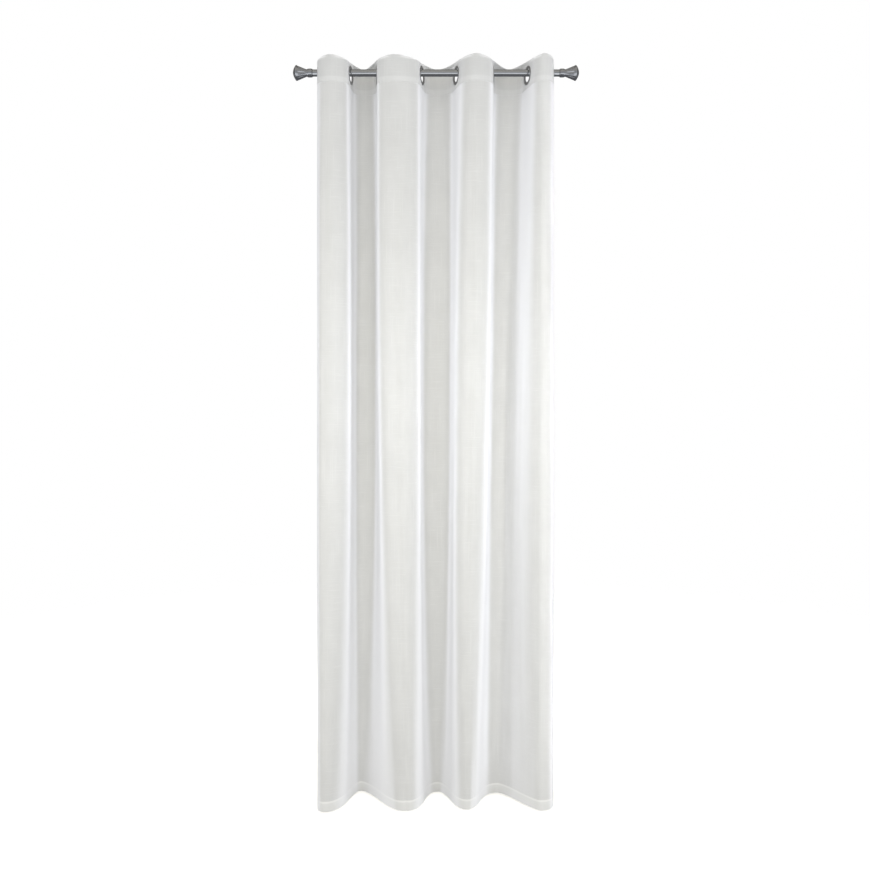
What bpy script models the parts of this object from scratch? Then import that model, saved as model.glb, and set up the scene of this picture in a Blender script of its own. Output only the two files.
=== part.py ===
"""Voile curtain with a ring heading, hung in soft waves on a round rod with flared finials.

Metres. X runs along the rod, -Y faces the room, Z is up. The origin is on the rod's axis at its middle.
"""
import math

import bmesh
import bpy
import numpy as np
from mathutils import Matrix, Vector

MM = 0.001

# Driving sizes, millimetres
DROP = 2500.0
TOP_ABOVE_ROD = 38.0
HEADING_HEIGHT = 90.0
HEM_HEIGHT = 34.0
CLOTH_THICKNESS = 1.2
HEM_THICKNESS = 1.9
HEADING_THICKNESS = 2.0
SIDE_TO_FIRST_RING = 60.0
PIECE_GAP = 0.3

ROD_DIAMETER = 23.0
ROD_LENGTH = 864.0
ROD_STEPS = 32

RING_OUTER = 62.0
RING_HOLE = 40.0
RING_THICKNESS = 5.0
RING_BARREL_WALL = 1.6
RING_HOLE_ROUNDING = (1.0, 0.7)
RING_RIM_ROUNDING = (1.2, 0.6)
RING_STEPS = 24
FLAT_AT_RING = 33.0
DRILL_LENGTH = 12.0

COLLAR_START = 418.0
FINIAL_TIP = 65.6
FINIAL_STEPS = 24

# The waves, left to right, in millimetres and degrees. A flank is where the cloth crosses the rod, at Y 0, and
# its lean is its turn away from the Y axis. A front or back row is the middle of a wave. Edge is the top edge,
# ring is the height of the rings, mid is half way down and hem is the foot. corner is how full the curve from
# this row to the next is: 0.55 is an ellipse, and more is squarer.
#                                                                    lean   lean   lean   lean   corner corner
#    name       kind     x_edge  x_ring  x_mid   x_hem   y_top  y_hem  edge   ring   mid    hem    mid    hem
WAVES = (
    ("flank_1",  "flank", -395.0, -397.0, -398.0, -397.0,   0.0,   0.0,  12.0,   2.0,   2.5,   3.0,  0.86,  0.86),
    ("front_1",  "front", -351.0, -351.0, -358.0, -367.0, -62.0, -77.0,   0.0,   0.0,   0.0,   0.0,  0.58,  0.62),
    ("flank_2",  "flank", -295.0, -289.0, -286.0, -299.0,   0.0,   0.0,  24.0,   8.0,   4.0,  17.0,  0.80,  0.62),
    ("back_1",   "back",  -249.0, -249.0, -250.0, -260.0,  70.0,  78.0,   0.0,   0.0,   0.0,   0.0,  0.80,  0.60),
    ("flank_3",  "flank", -205.0, -200.0, -195.0, -188.0,   0.0,   0.0,  26.0,   6.0,   4.0,  34.0,  0.76,  0.62),
    ("front_2",  "front", -139.0, -139.0, -125.0, -102.0, -62.0, -71.0,   0.0,   0.0,   0.0,   0.0,  0.56,  0.64),
    ("flank_4",  "flank",  -58.0,  -48.0,  -52.0,  -41.0,   0.0,   0.0,  32.0,  14.0,   1.0,  15.0,  0.80,  0.64),
    ("back_2",   "back",     4.0,    4.0,    3.0,    4.0,  68.0,  71.0,   0.0,   0.0,   0.0,   0.0,  0.80,  0.64),
    ("flank_5",  "flank",   69.0,   69.0,   58.0,   52.0,   0.0,   0.0,  29.0,  17.0,   4.0,  21.0,  0.66,  0.64),
    ("front_3",  "front",  132.0,  132.0,  116.0,   99.0, -71.0, -60.0,   0.0,   0.0,   0.0,   0.0,  0.60,  0.64),
    ("flank_6",  "flank",  199.0,  194.0,  178.0,  149.0,   0.0,   0.0,  30.0,   6.0,   5.0,  20.0,  0.80,  0.64),
    ("back_3",   "back",   253.0,  253.0,  228.0,  211.0,  68.0,  62.0,   0.0,   0.0,   0.0,   0.0,  0.62,  0.60),
    ("flank_7",  "flank",  307.0,  310.0,  288.0,  278.0,   0.0,   0.0,  30.0,  16.0,  30.0,  38.0,  0.56,  0.62),
    ("front_4",  "front",  356.0,  356.0,  349.0,  344.0, -70.0, -65.0,   0.0,   0.0,   0.0,   0.0,  0.74,  0.76),
    ("flank_8",  "flank",  396.0,  394.0,  395.0,  395.5,   0.0,   0.0,   8.0,   3.0,   3.5,   4.0,  0.60,  0.60),
)
WAVE_COLUMNS = (
    "name", "kind", "x_edge", "x_ring", "x_mid", "x_hem", "y_top", "y_hem", "lean_edge", "lean_ring", "lean_mid",
    "lean_hem", "corner_mid", "corner_hem",
)
WAVES = tuple(dict(zip(WAVE_COLUMNS, row)) for row in WAVES)

# The finial's outer side, from the collar's mouth to the tip: distance along the rod and radius, millimetres
FINIAL_SIDE = (
    ("mouth",   0.0, 13.4),
    ("collar",  0.8, 14.2),
    ("collar", 16.8, 14.2),
    ("collar", 17.6, 13.4),
    ("neck",   18.6, 11.8),
    ("cone",   52.0, 24.6),
    ("rim",    53.6, 25.0),
    ("rim",    55.4, 24.4),
    ("dome",   59.0, 20.0),
    ("dome",   62.6, 13.0),
    ("dome",   64.8,  6.0),
)

HOW_FAR_DOWN = {"edge": 0.0, "ring": 0.0, "mid": 0.5, "hem": 1.0}
STRAIGHT_AT_FLANK = {"edge": 8.0, "ring": FLAT_AT_RING, "mid": 14.0, "hem": 4.0}
CORNER_AT_TOP = 0.60

# How the cloth is divided, millimetres. Columns count from a ring's middle, and rows from the top of a piece
CURVE_STEPS = 20
RING_COLUMNS = (0.0, FLAT_AT_RING / 2, FLAT_AT_RING)
SIDE_COLUMNS = (46.0, SIDE_TO_FIRST_RING)
WAVE_STEPS = 4
HEADING_ROWS = (0.0, 4.0, 8.5)
PANEL_TOP_ROWS = (0.0, 40.0, 100.0, 180.0)
PANEL_MIDDLE_START = 290.0
PANEL_MIDDLE_ROWS = 14
ROW_TO_HEM = 90.0
HEM_STEP_HEIGHT = 3.0
WELD_DISTANCE = 0.05

EYELET_DROP = RING_HOLE / 2 - ROD_DIAMETER / 2 - PIECE_GAP
TOP_Z = TOP_ABOVE_ROD
EYELET_Z = -EYELET_DROP
HEM_Z = TOP_ABOVE_ROD - DROP
SEAM_Z = TOP_ABOVE_ROD - HEADING_HEIGHT


def clear_scene():
    """Start from an empty scene."""
    for item in list(bpy.data.objects):
        bpy.data.objects.remove(item, do_unlink=True)


def new_collection(name):
    """Make a collection and link it to the scene."""
    collection = bpy.data.collections.new(name)
    bpy.context.scene.collection.children.link(collection)
    return collection


def plain_material(name, color, metallic, roughness):
    """Make a Principled material."""
    material = bpy.data.materials.new(name)
    material.use_nodes = True
    shader = material.node_tree.nodes["Principled BSDF"]
    shader.inputs["Base Color"].default_value = (*color, 1.0)
    shader.inputs["Metallic"].default_value = metallic
    shader.inputs["Roughness"].default_value = roughness
    return material


def mesh_object(name, mesh, material, collection):
    """Make an object of a mesh and give it a material."""
    item = bpy.data.objects.new(name, mesh)
    item.data.materials.append(material)
    collection.objects.link(item)
    return item


def knots(level):
    """The waves at one level, as plan points and directions. level is edge, ring, mid or hem."""
    found = []
    forward = True
    down = HOW_FAR_DOWN[level]
    for row in WAVES:
        x = row["x_" + level]
        y = row["y_top"] * (1 - down) + row["y_hem"] * down
        direction = np.array((1.0, 0.0))
        if row["kind"] == "flank":
            turn = math.radians(row["lean_" + level])
            direction = np.array((math.sin(turn), -math.cos(turn) if forward else math.cos(turn)))
            forward = not forward
        found.append((np.array((x, y)), direction, row))
    return found


def curve_between(start, toward, end, arriving, corner):
    """A rounded corner from start to end, as plan points."""
    legs = np.linalg.solve(np.column_stack((toward, arriving)), end - start)
    reach = corner * np.maximum(legs, 0.1 * np.linalg.norm(end - start))
    first = start + toward * reach[0]
    second = end - arriving * reach[1]
    t = np.linspace(0.0, 1.0, CURVE_STEPS + 1)[:, None]
    return (1 - t) ** 3 * start + 3 * (1 - t) ** 2 * t * first + 3 * (1 - t) * t ** 2 * second + t ** 3 * end


def stretches(level):
    """The section at one level, cut at every row of the waves, as a list of plan polylines."""
    rows = knots(level)
    straight = STRAIGHT_AT_FLANK[level]
    found = [np.array((rows[0][0] - rows[0][1] * SIDE_TO_FIRST_RING, rows[0][0]))]
    for (start, toward, row), (end, arriving, after) in zip(rows, rows[1:]):
        inner_start = start + toward * (straight if row["kind"] == "flank" else 0.0)
        inner_end = end - arriving * (straight if after["kind"] == "flank" else 0.0)
        corner = row.get("corner_" + level, CORNER_AT_TOP)
        line = curve_between(inner_start, toward, inner_end, arriving, corner)
        found.append(np.vstack((start, line, end)))
    found.append(np.array((rows[-1][0], rows[-1][0] + rows[-1][1] * SIDE_TO_FIRST_RING)))
    return found


def lengths(line):
    """Distance along a polyline at each of its points."""
    steps = np.hypot(*np.diff(line, axis=0).T)
    return np.concatenate(((0.0,), np.cumsum(steps)))


def column_shares():
    """Where the cloth's columns lie in each stretch, as shares of its length at the ring level."""
    shares = []
    for index, line in enumerate(stretches("ring")):
        whole = lengths(line)[-1]
        at_side = index in (0, len(WAVES))
        beyond_ring = SIDE_COLUMNS if at_side else np.linspace(FLAT_AT_RING, whole, WAVE_STEPS + 1)[1:]
        places = np.array((*RING_COLUMNS, *beyond_ring))
        toward_ring = index == 0 or WAVES[index - 1]["kind"] != "flank"
        if toward_ring:
            places = whole - places[::-1]
        shares.append(np.clip(places / whole, 0.0, 1.0))
    return shares


def section(level):
    """Plan points of every column at one level."""
    points = []
    for line, shares in zip(stretches(level), column_shares()):
        along = lengths(line)
        x = np.interp(shares * along[-1], along, line[:, 0])
        y = np.interp(shares * along[-1], along, line[:, 1])
        points.append(np.column_stack((x, y))[(1 if points else 0):])
    return np.vstack(points)


def eased(t):
    """Smooth step from 0 to 1."""
    t = min(max(t, 0.0), 1.0)
    return t * t * (3 - 2 * t)


def cloth_rows(heights):
    """Rows of cloth points at the given heights, millimetres."""
    edge, ring, mid, hem = (section(level) for level in ("edge", "ring", "mid", "hem"))
    flat_top = EYELET_Z + FLAT_AT_RING
    flat_foot = EYELET_Z - FLAT_AT_RING
    rows = []
    for z in heights:
        if z > flat_top:
            share = eased((z - flat_top) / (TOP_Z - flat_top))
            plan = ring * (1 - share) + edge * share
        elif z >= flat_foot:
            plan = ring
        else:
            t = (flat_foot - z) / (flat_foot - HEM_Z)
            plan = ring * (1 - t) * (1 - 2 * t) + mid * 4 * t * (1 - t) + hem * t * (2 * t - 1)
        rows.append(np.column_stack((plan, np.full(len(plan), z))))
    return np.array(rows) * MM


def cloth_sheet(name, heights, thickness, material, collection, thin_share=1.0, thick_below=None):
    """A grid bent onto the waves, with its thickness added. The cloth above thick_below is thinner."""
    rows = cloth_rows(heights)
    mesh = bpy.data.meshes.new(name)
    grid = bmesh.new()
    bmesh.ops.create_grid(grid, x_segments=rows.shape[1] - 1, y_segments=rows.shape[0] - 1, size=1.0)
    for vertex in grid.verts:
        column = round((vertex.co.x + 1) / 2 * (rows.shape[1] - 1))
        line = round((1 - vertex.co.y) / 2 * (rows.shape[0] - 1))
        vertex.co = Vector(rows[line, column])
    grid.to_mesh(mesh)
    grid.free()
    item = mesh_object(name, mesh, material, collection)
    for face in mesh.polygons:
        face.use_smooth = True
    solid = item.modifiers.new("thickness", "SOLIDIFY")
    solid.thickness = thickness * MM
    solid.offset = 0.0
    solid.use_even_offset = True
    if thick_below is not None:
        group = item.vertex_groups.new(name="thick")
        for vertex in mesh.vertices:
            low = vertex.co.z <= (thick_below + WELD_DISTANCE) * MM
            group.add([vertex.index], 1.0 if low else thin_share, "REPLACE")
        solid.vertex_group = group.name
    return item


def ring_places():
    """Centre and plan direction of each ring."""
    return [(point, direction) for point, direction, row in knots("ring") if row["kind"] == "flank"]


def ring_matrix(point, direction):
    """Turns a ring that was made about Z to lie in its flank of cloth."""
    normal = Vector((direction[1], -direction[0], 0.0))
    along = Vector((direction[0], direction[1], 0.0))
    up = Vector((0.0, 0.0, 1.0))
    turn = Matrix((up, along, normal)).transposed().to_4x4()
    return Matrix.Translation((point[0] * MM, point[1] * MM, EYELET_Z * MM)) @ turn


def profile_mesh(name, profile, closed):
    """A line in the XZ plane through points given as radius and height in millimetres."""
    mesh = bpy.data.meshes.new(name)
    points = [(r * MM, 0.0, z * MM) for r, z in profile]
    edges = [(i, i + 1) for i in range(len(points) - 1)]
    if closed:
        edges.append((len(points) - 1, 0))
    mesh.from_pydata(points, edges, [])
    return mesh


def turned_object(name, profile, steps, closed, material, collection):
    """A piece turned about Z, made with the Screw tool."""
    item = mesh_object(name, profile_mesh(name, profile, closed), material, collection)
    screw = item.modifiers.new("turn", "SCREW")
    screw.axis = "Z"
    screw.steps = steps
    screw.render_steps = steps
    screw.use_merge_vertices = True
    screw.merge_threshold = WELD_DISTANCE * MM
    screw.use_smooth_shade = True
    return item


def make_panel(material, collection):
    """The cloth below the heading, with its hem."""
    hem_top = HEM_Z + HEM_HEIGHT
    first = SEAM_Z - PIECE_GAP
    upper = [first - below for below in PANEL_TOP_ROWS]
    middle = np.linspace(first - PANEL_MIDDLE_START, hem_top + ROW_TO_HEM, PANEL_MIDDLE_ROWS)
    heights = [*upper, *middle, hem_top + HEM_STEP_HEIGHT, hem_top, HEM_Z]
    return cloth_sheet("panel", heights, HEM_THICKNESS, material, collection,
                       CLOTH_THICKNESS / HEM_THICKNESS, hem_top)


def make_heading(material, collection, cutters):
    """The doubled band with a hole for each ring."""
    upper = [TOP_Z - below for below in HEADING_ROWS]
    heights = [*upper, EYELET_Z + FLAT_AT_RING, EYELET_Z, EYELET_Z - FLAT_AT_RING, SEAM_Z]
    item = cloth_sheet("heading", heights, HEADING_THICKNESS, material, collection)
    hole = RING_HOLE / 2 + RING_BARREL_WALL + PIECE_GAP
    for number, (point, direction) in enumerate(ring_places(), 1):
        mesh = bpy.data.meshes.new(f"eyelet_hole_{number}")
        drill = bmesh.new()
        bmesh.ops.create_cone(drill, cap_ends=True, segments=RING_STEPS, radius1=hole * MM, radius2=hole * MM,
                              depth=DRILL_LENGTH * MM)
        drill.to_mesh(mesh)
        drill.free()
        cutter = bpy.data.objects.new(f"eyelet_hole_{number}", mesh)
        cutters.objects.link(cutter)
        cutter.matrix_world = ring_matrix(point, direction)
        cutter.hide_render = True
        cutter.display_type = "WIRE"
        cut = item.modifiers.new(f"hole_{number}", "BOOLEAN")
        cut.operation = "DIFFERENCE"
        cut.solver = "EXACT"
        cut.object = cutter
    return item


def make_eyelets(material, collection):
    """Eight rings. Each is two rounded washers on a barrel, with the cloth held between them."""
    outer = RING_OUTER / 2
    hole = RING_HOLE / 2
    barrel = hole + RING_BARREL_WALL
    half = RING_THICKNESS / 2
    slot = HEADING_THICKNESS / 2 + PIECE_GAP
    hole_in, hole_down = RING_HOLE_ROUNDING
    rim_in, rim_down = RING_RIM_ROUNDING
    upper = (
        (hole, half - hole_down), (hole + hole_in, half), (outer - rim_in, half), (outer, half - rim_down),
        (outer, slot), (barrel, slot),
    )
    profile = upper + tuple((radius, -height) for radius, height in reversed(upper))
    made = []
    for number, (point, direction) in enumerate(ring_places(), 1):
        item = turned_object(f"eyelet_{number}", profile, RING_STEPS, True, material, collection)
        item.matrix_world = ring_matrix(point, direction)
        made.append(item)
    return made


def make_rod(material, collection):
    """The round rod, along X."""
    mesh = bpy.data.meshes.new("rod")
    bar = bmesh.new()
    radius = ROD_DIAMETER / 2 * MM
    bmesh.ops.create_cone(bar, cap_ends=True, segments=ROD_STEPS, radius1=radius, radius2=radius,
                          depth=ROD_LENGTH * MM)
    bmesh.ops.rotate(bar, verts=bar.verts, cent=(0.0, 0.0, 0.0), matrix=Matrix.Rotation(math.pi / 2, 3, "Y"))
    bar.to_mesh(mesh)
    bar.free()
    item = mesh_object("rod", mesh, material, collection)
    for face in mesh.polygons:
        face.use_smooth = len(face.vertices) == 4
    return item


def make_finial(name, side, material, collection):
    """A flared finial whose bored collar fits over the rod's end. side is -1 for left and 1 for right."""
    bore = ROD_DIAMETER / 2 + PIECE_GAP
    depth = ROD_LENGTH / 2 - COLLAR_START + PIECE_GAP
    profile = [(0.0, FINIAL_TIP)] + [(r, along) for _, along, r in reversed(FINIAL_SIDE)]
    profile += [(bore, 0.0), (bore, depth), (0.0, depth)]
    item = turned_object(name, profile, FINIAL_STEPS, False, material, collection)
    turn = Matrix.Rotation(side * math.pi / 2, 4, "Y")
    item.matrix_world = Matrix.Translation((side * COLLAR_START * MM, 0.0, 0.0)) @ turn
    return item


def main():
    """Build the curtain and its rod."""
    clear_scene()
    parts = new_collection("voile_curtain")
    cutters = new_collection("cutters")
    voile = plain_material("voile", (0.86, 0.86, 0.83), 0.0, 0.85)
    band = plain_material("heading_voile", (0.89, 0.89, 0.87), 0.0, 0.85)
    ring_metal = plain_material("ring_metal", (0.36, 0.36, 0.35), 1.0, 0.35)
    rod_metal = plain_material("rod_metal", (0.52, 0.52, 0.51), 1.0, 0.30)
    finial_metal = plain_material("finial_metal", (0.50, 0.50, 0.50), 1.0, 0.30)
    make_panel(voile, parts)
    make_heading(band, parts, cutters)
    make_eyelets(ring_metal, parts)
    make_rod(rod_metal, parts)
    make_finial("finial_left", -1, finial_metal, parts)
    make_finial("finial_right", 1, finial_metal, parts)


main()
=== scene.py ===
import math

import bmesh
import bpy
import numpy as np
from mathutils import Matrix, Vector, noise


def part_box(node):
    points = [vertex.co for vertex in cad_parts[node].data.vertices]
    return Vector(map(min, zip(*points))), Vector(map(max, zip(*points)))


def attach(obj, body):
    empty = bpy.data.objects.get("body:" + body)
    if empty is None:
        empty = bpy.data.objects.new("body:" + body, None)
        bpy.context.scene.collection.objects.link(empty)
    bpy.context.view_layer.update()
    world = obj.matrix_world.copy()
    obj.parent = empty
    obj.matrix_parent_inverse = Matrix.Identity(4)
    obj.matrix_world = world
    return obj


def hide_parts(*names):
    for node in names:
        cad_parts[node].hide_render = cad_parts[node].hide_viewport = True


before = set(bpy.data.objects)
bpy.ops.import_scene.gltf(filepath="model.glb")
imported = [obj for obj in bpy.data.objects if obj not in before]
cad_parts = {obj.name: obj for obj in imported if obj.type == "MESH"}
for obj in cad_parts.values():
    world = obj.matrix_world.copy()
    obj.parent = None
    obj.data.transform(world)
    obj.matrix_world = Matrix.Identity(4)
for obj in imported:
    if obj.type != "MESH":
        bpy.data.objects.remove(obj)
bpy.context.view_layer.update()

MM = 0.001

# Sizes that the frame gives, millimetres
TOP_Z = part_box("heading")[1].z / MM
SEAM_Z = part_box("heading")[0].z / MM
HEM_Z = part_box("panel")[0].z / MM
ROD_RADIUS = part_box("rod")[1].z / MM
ROD_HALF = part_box("rod")[1].x / MM
EYELET_Z = (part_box("eyelet_1")[0].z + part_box("eyelet_1")[1].z) / 2 / MM

# Sizes that the frame doesn't give, millimetres
FLAT_WIDTH = 1500.0
CLOTH_THICKNESS = 1.2
HEM_THICKNESS = 1.9
HEM_HEIGHT = 34.0
HEADING_THICKNESS = 2.0
SIDE_HEM = 8.0
SEAM_JOIN = 0.02
SIDE_TO_FIRST_RING = 60.0
FLAT_AT_RING = 33.0
COLLAR_START = 418.0
HEM_TOP = HEM_Z + HEM_HEIGHT

# The waves, left to right. A flank is where the cloth crosses the rod, at Y 0, and its lean is its turn away
# from the Y axis. A front or back row is the middle of a wave. Edge is the top edge, ring is the height of
# the rings, mid is half way down and hem is the foot. corner is how full the curve to the next row is: 0.55
# is an ellipse, and more is squarer.
#                          x                               y           lean                     corner
#    name       kind       edge    ring     mid     hem    top    hem  edge  ring   mid   hem   mid   hem
WAVES = (
    ("flank_1", "flank", -395.0, -397.0, -398.0, -397.0,   0.0,   0.0, 12.0,  2.0,  2.5,  3.0, 0.86, 0.86),
    ("front_1", "front", -351.0, -351.0, -358.0, -367.0, -62.0, -77.0,  0.0,  0.0,  0.0,  0.0, 0.58, 0.62),
    ("flank_2", "flank", -295.0, -289.0, -286.0, -299.0,   0.0,   0.0, 24.0,  8.0,  4.0, 17.0, 0.80, 0.62),
    ("back_1",  "back",  -249.0, -249.0, -250.0, -260.0,  70.0,  78.0,  0.0,  0.0,  0.0,  0.0, 0.80, 0.60),
    ("flank_3", "flank", -205.0, -200.0, -195.0, -188.0,   0.0,   0.0, 26.0,  6.0,  4.0, 34.0, 0.76, 0.62),
    ("front_2", "front", -139.0, -139.0, -125.0, -102.0, -62.0, -71.0,  0.0,  0.0,  0.0,  0.0, 0.56, 0.64),
    ("flank_4", "flank",  -58.0,  -48.0,  -52.0,  -41.0,   0.0,   0.0, 32.0, 14.0,  1.0, 15.0, 0.80, 0.64),
    ("back_2",  "back",     4.0,    4.0,    3.0,    4.0,  68.0,  71.0,  0.0,  0.0,  0.0,  0.0, 0.80, 0.64),
    ("flank_5", "flank",   69.0,   69.0,   58.0,   52.0,   0.0,   0.0, 29.0, 17.0,  4.0, 21.0, 0.66, 0.64),
    ("front_3", "front",  132.0,  132.0,  116.0,   99.0, -71.0, -60.0,  0.0,  0.0,  0.0,  0.0, 0.60, 0.64),
    ("flank_6", "flank",  199.0,  194.0,  178.0,  149.0,   0.0,   0.0, 30.0,  6.0,  5.0, 20.0, 0.80, 0.64),
    ("back_3",  "back",   253.0,  253.0,  228.0,  211.0,  68.0,  62.0,  0.0,  0.0,  0.0,  0.0, 0.62, 0.60),
    ("flank_7", "flank",  307.0,  310.0,  288.0,  278.0,   0.0,   0.0, 30.0, 16.0, 30.0, 38.0, 0.56, 0.62),
    ("front_4", "front",  356.0,  356.0,  349.0,  344.0, -70.0, -65.0,  0.0,  0.0,  0.0,  0.0, 0.74, 0.76),
    ("flank_8", "flank",  396.0,  394.0,  395.0,  395.5,   0.0,   0.0,  8.0,  3.0,  3.5,  4.0, 0.60, 0.60),
)
WAVE_COLUMNS = (
    "name", "kind", "x_edge", "x_ring", "x_mid", "x_hem", "y_top", "y_hem",
    "lean_edge", "lean_ring", "lean_mid", "lean_hem", "corner_mid", "corner_hem",
)
WAVES = tuple(dict(zip(WAVE_COLUMNS, row)) for row in WAVES)
HOW_FAR_DOWN = {"edge": 0.0, "ring": 0.0, "mid": 0.5, "hem": 1.0}
STRAIGHT_AT_FLANK = {"edge": 8.0, "ring": FLAT_AT_RING, "mid": 14.0, "hem": 4.0}
CORNER_AT_TOP = 0.60
CORNER_LEAST_LEG = 0.1
CURVE_STEPS = 40

# Soft creases, placed one by one. aside is how far a crease lies along the cloth from its wave's middle, top
# and foot are heights, width is half its breadth, and depth is out towards the room, or a trough when
# negative.
#    wave      aside_top  aside_foot     top      foot   width  depth
CREASES = (
    ("front_1",     -18.0,      -14.0,  -150.0, -2200.0,  12.0,  -1.6),
    ("front_1",      14.0,       22.0,   -60.0, -1500.0,  10.0,   1.2),
    ("front_2",      -8.0,        4.0,  -480.0, -2430.0,  11.0,  -3.0),
    ("front_2",     -34.0,      -30.0,  -900.0, -2430.0,  12.0,   1.6),
    ("front_2",      26.0,       26.0,  -300.0, -1700.0,  14.0,   1.6),
    ("front_3",     -10.0,       -6.0,  -120.0, -1900.0,  10.0,  -2.2),
    ("front_3",      12.0,       14.0,  -200.0, -2430.0,  11.0,   1.6),
    ("back_3",        6.0,       14.0,  -850.0, -1750.0,   9.0,  -2.4),
    ("back_1",       -6.0,        4.0,  -700.0, -2430.0,  13.0,   1.4),
    ("back_2",       10.0,       -6.0,  -300.0, -2430.0,  15.0,   1.5),
    ("front_4",     -14.0,      -16.0,  -100.0, -2300.0,  10.0,  -2.0),
    ("front_4",       6.0,        2.0,  -700.0, -2430.0,  12.0,   1.0),
)
CREASE_COLUMNS = ("wave", "aside_top", "aside_foot", "top", "foot", "width", "depth")
CREASES = tuple(dict(zip(CREASE_COLUMNS, row)) for row in CREASES)
CREASE_FADE = 260.0

# Slow unevenness, in two layers of noise: how far its swells run across and down, which noise, and its share
#   across   down  layer  share
UNEVEN_LAYERS = (
    (46.0,  620.0,   3.0,  1.00),
    (19.0,  260.0,   8.0,  0.45),
)
UNEVEN_DEPTH = 1.0
UNEVEN_AT_SEAM = 0.2
UNEVEN_GROWS_OVER = 200.0
UNEVEN_IN_HEADING = 0.5

# Stitching. A row of stitches sinks into the cloth, which puckers beside it in ripples of two pitches. A line
# of puckers has a height, how far the puckers reach, and their share of the full depth.
STITCH_INSET = 2.2
STITCH_SINK = 0.35
STITCH_REACH = 1.6
PUCKER_DEPTH = 0.35
#    pitch  share  start
PUCKER_RIPPLES = (
    (17.00,   1.0,   0.0),
    (10.71,   0.6,   1.0),
)
PANEL_PUCKERS = ((HEM_TOP - STITCH_INSET, 9.0, 1.0), (SEAM_Z, 14.0, 0.7))
HEADING_PUCKERS = ((SEAM_Z, 12.0, 1.0), (TOP_Z, 7.0, 0.5))
PANEL_STILL_BELOW_SEAM = 12.0
HEADING_STILL_ABOVE_SEAM = 22.0
HEADING_STILL_BELOW_TOP = 12.0

# The cloth's edges
HEM_STEP = 1.2
SIDE_HEM_STEP = 2.0
SIDE_HEM_FULLNESS = 0.7
SIDE_STITCH_INSET = 1.5
TOP_ROUNDING = 0.3
TOP_ROUNDING_REACH = 5.0
EDGE_BULGE = 0.42
HOLE_IN_CLOTH = 22.2
HOLE_CELL_REACH = 1.5
RING_PLANE_REACH = 4.0

# The rows and columns of the cloth's points: close at seams and edges, where small forms are, even between
PANEL_COLUMN = 6.5
PANEL_BELOW_SEAM = (0.0, 1.5, 4.0, 8.0, 14.0, 22.0, 32.0, 44.0)
PANEL_EVEN_ROWS = 92
PANEL_EVEN_BELOW_SEAM = 62.0
PANEL_EVEN_ABOVE_HEM = 20.0
PANEL_ABOUT_HEM_TOP = (
    12.0, 6.0, 3.0, 1.6, 0.4, -1.0, -2.2, -3.6, -6.0, -10.0, -16.0, -22.0, -28.0, -32.0,
)
PANEL_LAST_ROW = 0.8
HEADING_COLUMN = 4.0
HEADING_BELOW_TOP = (0.8, 2.0, 4.0)
HEADING_EVEN_ROWS = 28
HEADING_EVEN_BELOW_TOP = 7.0
HEADING_EVEN_ABOVE_SEAM = 8.0
HEADING_ABOVE_SEAM = (5.5, 3.8, 3.0, STITCH_INSET, 1.4, 0.8)
FLAT_MAP = "flat_cloth"

# A ring: two pressed washers on a barrel. A shoulder is how far from its edge, and how far under the crown,
# the face turns down. An arc is where a rolled edge starts and ends.
RING_OUTER = 62.0
RING_HOLE = 42.6
RING_THICKNESS = 4.2
RING_BARREL_WALL = 0.6
RING_CLOTH_GAP = 0.3
RING_ROLL = 1.6
RING_OUTER_SHOULDER = (2.6, 0.12)
RING_INNER_SHOULDER = (0.6, 0.05)
RING_OUTER_ARC = (-60.0, 70.0)
RING_INNER_ARC = (100.0, 180.0)
ARC_STEPS = 6
RING_STEPS = 96

ROD_END_EASE = 0.8
ROD_STEPS = 96

# The finial's outer side, from the collar's mouth to the tip: distance along the rod, radius, and how deep
# the flutes are there.
#    part     along  radius  flute
FINIAL_SIDE = (
    ("mouth",   0.0, 12.6, 0.0),
    ("collar",  0.5, 13.3, 0.0),
    ("collar",  2.0, 14.0, 0.0),
    ("collar",  5.5, 14.2, 0.0),
    ("collar", 10.0, 14.2, 0.0),
    ("collar", 14.0, 13.8, 0.0),
    ("collar", 16.8, 12.8, 0.0),
    ("neck",   17.8, 11.9, 0.0),
    ("neck",   19.2, 11.9, 0.0),
    ("cone",   21.0, 12.4, 0.2),
    ("cone",   24.0, 13.6, 0.8),
    ("cone",   34.0, 17.4, 1.2),
    ("cone",   43.0, 20.9, 1.4),
    ("cone",   47.0, 22.4, 1.1),
    ("rim",    49.0, 22.9, 0.2),
    ("rim",    50.8, 24.5, 0.0),
    ("rim",    52.6, 25.0, 0.0),
    ("rim",    54.6, 24.9, 0.0),
    ("rim",    55.6, 24.2, 0.0),
    ("dome",   57.4, 22.0, 0.0),
    ("dome",   60.2, 17.4, 0.0),
    ("dome",   62.8, 12.0, 0.0),
    ("dome",   64.6,  6.6, 0.0),
    ("dome",   65.4,  2.6, 0.0),
)
FINIAL_TIP = 65.6
FINIAL_CLEARANCE = 0.15
FINIAL_MOUTH = 0.3
FLUTES = 16
FINIAL_STEPS = 160

# Finishes. Colours are linear, bump heights are in metres, and a pair of numbers is the range over which a
# value turns. Noise by name: how many times a metre it changes across and down the cloth, and its detail
NOISES = {
    "thread_drift": (160.0, 160.0, 1.0),
    "weft_slubs": (14.0, 360.0, 3.0),
    "warp_slubs": (360.0, 7.0, 3.0),
    "mottle": (22.0, 9.0, 3.0),
}
THREADS_PER_METRE = 1000.0
THREAD_DRIFT = 2.2
THREAD_RELIEF = 0.5
THREAD_GAP = (0.25, 0.75)
WEFT_SLUB = (0.52, 0.72)
WARP_SLUB = (0.53, 0.73)
SLUB_STRENGTH = 0.5
SLUB_SHADE = 0.5
SLUB_COVER = 0.6
MOTTLE_SHADE = 0.6

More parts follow.
